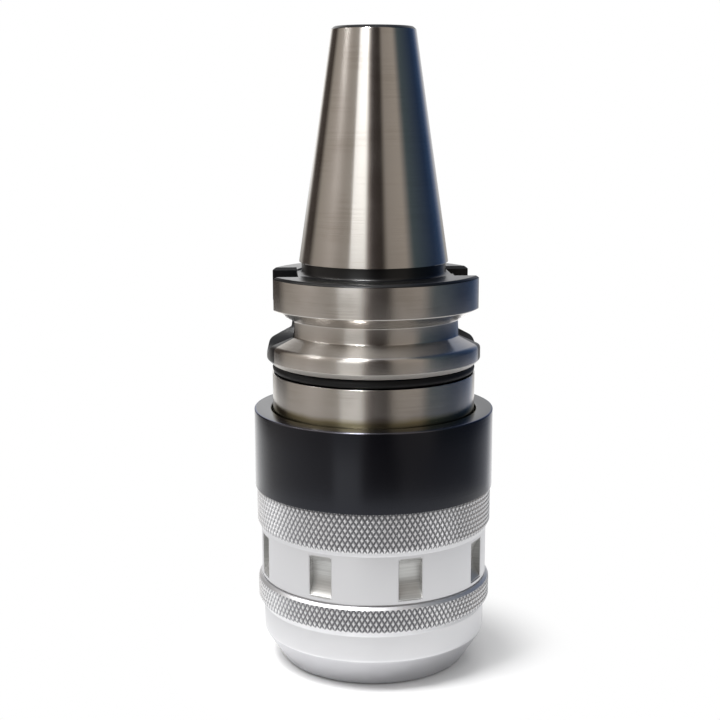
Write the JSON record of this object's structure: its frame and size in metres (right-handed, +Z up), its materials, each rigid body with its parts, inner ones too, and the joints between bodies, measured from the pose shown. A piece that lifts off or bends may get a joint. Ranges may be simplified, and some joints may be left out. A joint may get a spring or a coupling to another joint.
{
  "type": "taper-shank milling collet chuck holder",
  "caption": "Steep-taper tool holder with a V-flange, drive keyways and a knurled roller clamping nut that squeezes a straight bore onto a tool shank or collet.",
  "frame": {"origin": "centre of the clamping nut's nose face, on the axis, where the holder stands", "axes": "+Z up the common axis towards the small end of the taper; +X and -X run through the two drive keyways"},
  "size_m": [0.0518, 0.0518, 0.1365],
  "materials": {
    "ground_steel": "ground bright, black oxide in the neck and keyways",
    "nut_steel": "satin plated, knurled bands",
    "black_steel": "satin black oxide",
    "roller_steel": "polished",
    "cage_brass": "machined",
    "black_rubber": "matt"
  },
  "bodies": {
    "shank": {"shank_body": "ground_steel", "flange_o_ring": "black_rubber", "cage_snap_ring": "black_steel"},
    "wiper": {"collar_wiper": "black_rubber"},
    "nut": {"clamping_nut": "nut_steel", "cover_ring": "black_steel", "cage_stop_washer": "roller_steel", "nose_seal": "black_rubber"},
    "cage": {"roller_cage": "cage_brass", "needle_roller_1_01": "roller_steel", "needle_roller_1_02": "roller_steel", "needle_roller_1_03": "roller_steel", "needle_roller_1_04": "roller_steel", "needle_roller_1_05": "roller_steel", "needle_roller_1_06": "roller_steel", "needle_roller_1_07": "roller_steel", "needle_roller_1_08": "roller_steel", "needle_roller_1_09": "roller_steel", "needle_roller_1_10": "roller_steel", "needle_roller_1_11": "roller_steel", "needle_roller_1_12": "roller_steel", "needle_roller_2_01": "roller_steel", "needle_roller_2_02": "roller_steel", "needle_roller_2_03": "roller_steel", "needle_roller_2_04": "roller_steel", "needle_roller_2_05": "roller_steel", "needle_roller_2_06": "roller_steel", "needle_roller_2_07": "roller_steel", "needle_roller_2_08": "roller_steel", "needle_roller_2_09": "roller_steel", "needle_roller_2_10": "roller_steel", "needle_roller_2_11": "roller_steel", "needle_roller_2_12": "roller_steel", "needle_roller_3_01": "roller_steel", "needle_roller_3_02": "roller_steel", "needle_roller_3_03": "roller_steel", "needle_roller_3_04": "roller_steel", "needle_roller_3_05": "roller_steel", "needle_roller_3_06": "roller_steel", "needle_roller_3_07": "roller_steel", "needle_roller_3_08": "roller_steel", "needle_roller_3_09": "roller_steel", "needle_roller_3_10": "roller_steel", "needle_roller_3_11": "roller_steel", "needle_roller_3_12": "roller_steel"}
  },
  "joints": [
    {"name": "nut_advance", "type": "slide", "parent": "shank", "child": "wiper", "axis": [0, 0, 1], "range_m": [0, 0.00768]},
    {"name": "nut_turn", "type": "hinge", "parent": "wiper", "child": "nut", "pos_m": [0, 0, 0.0391], "axis": [0, 0, 1], "range_deg": [0, 900]},
    {"name": "cage_advance", "type": "slide", "parent": "shank", "child": "cage", "axis": [0, 0, 1], "range_m": [0, 0.00384]}
  ],
  "couplings": [
    {"joint": "nut_advance", "follows": "nut_turn", "m_per_rad": 0.00048892},
    {"joint": "cage_advance", "follows": "nut_turn", "m_per_rad": 0.00024446}
  ]
}
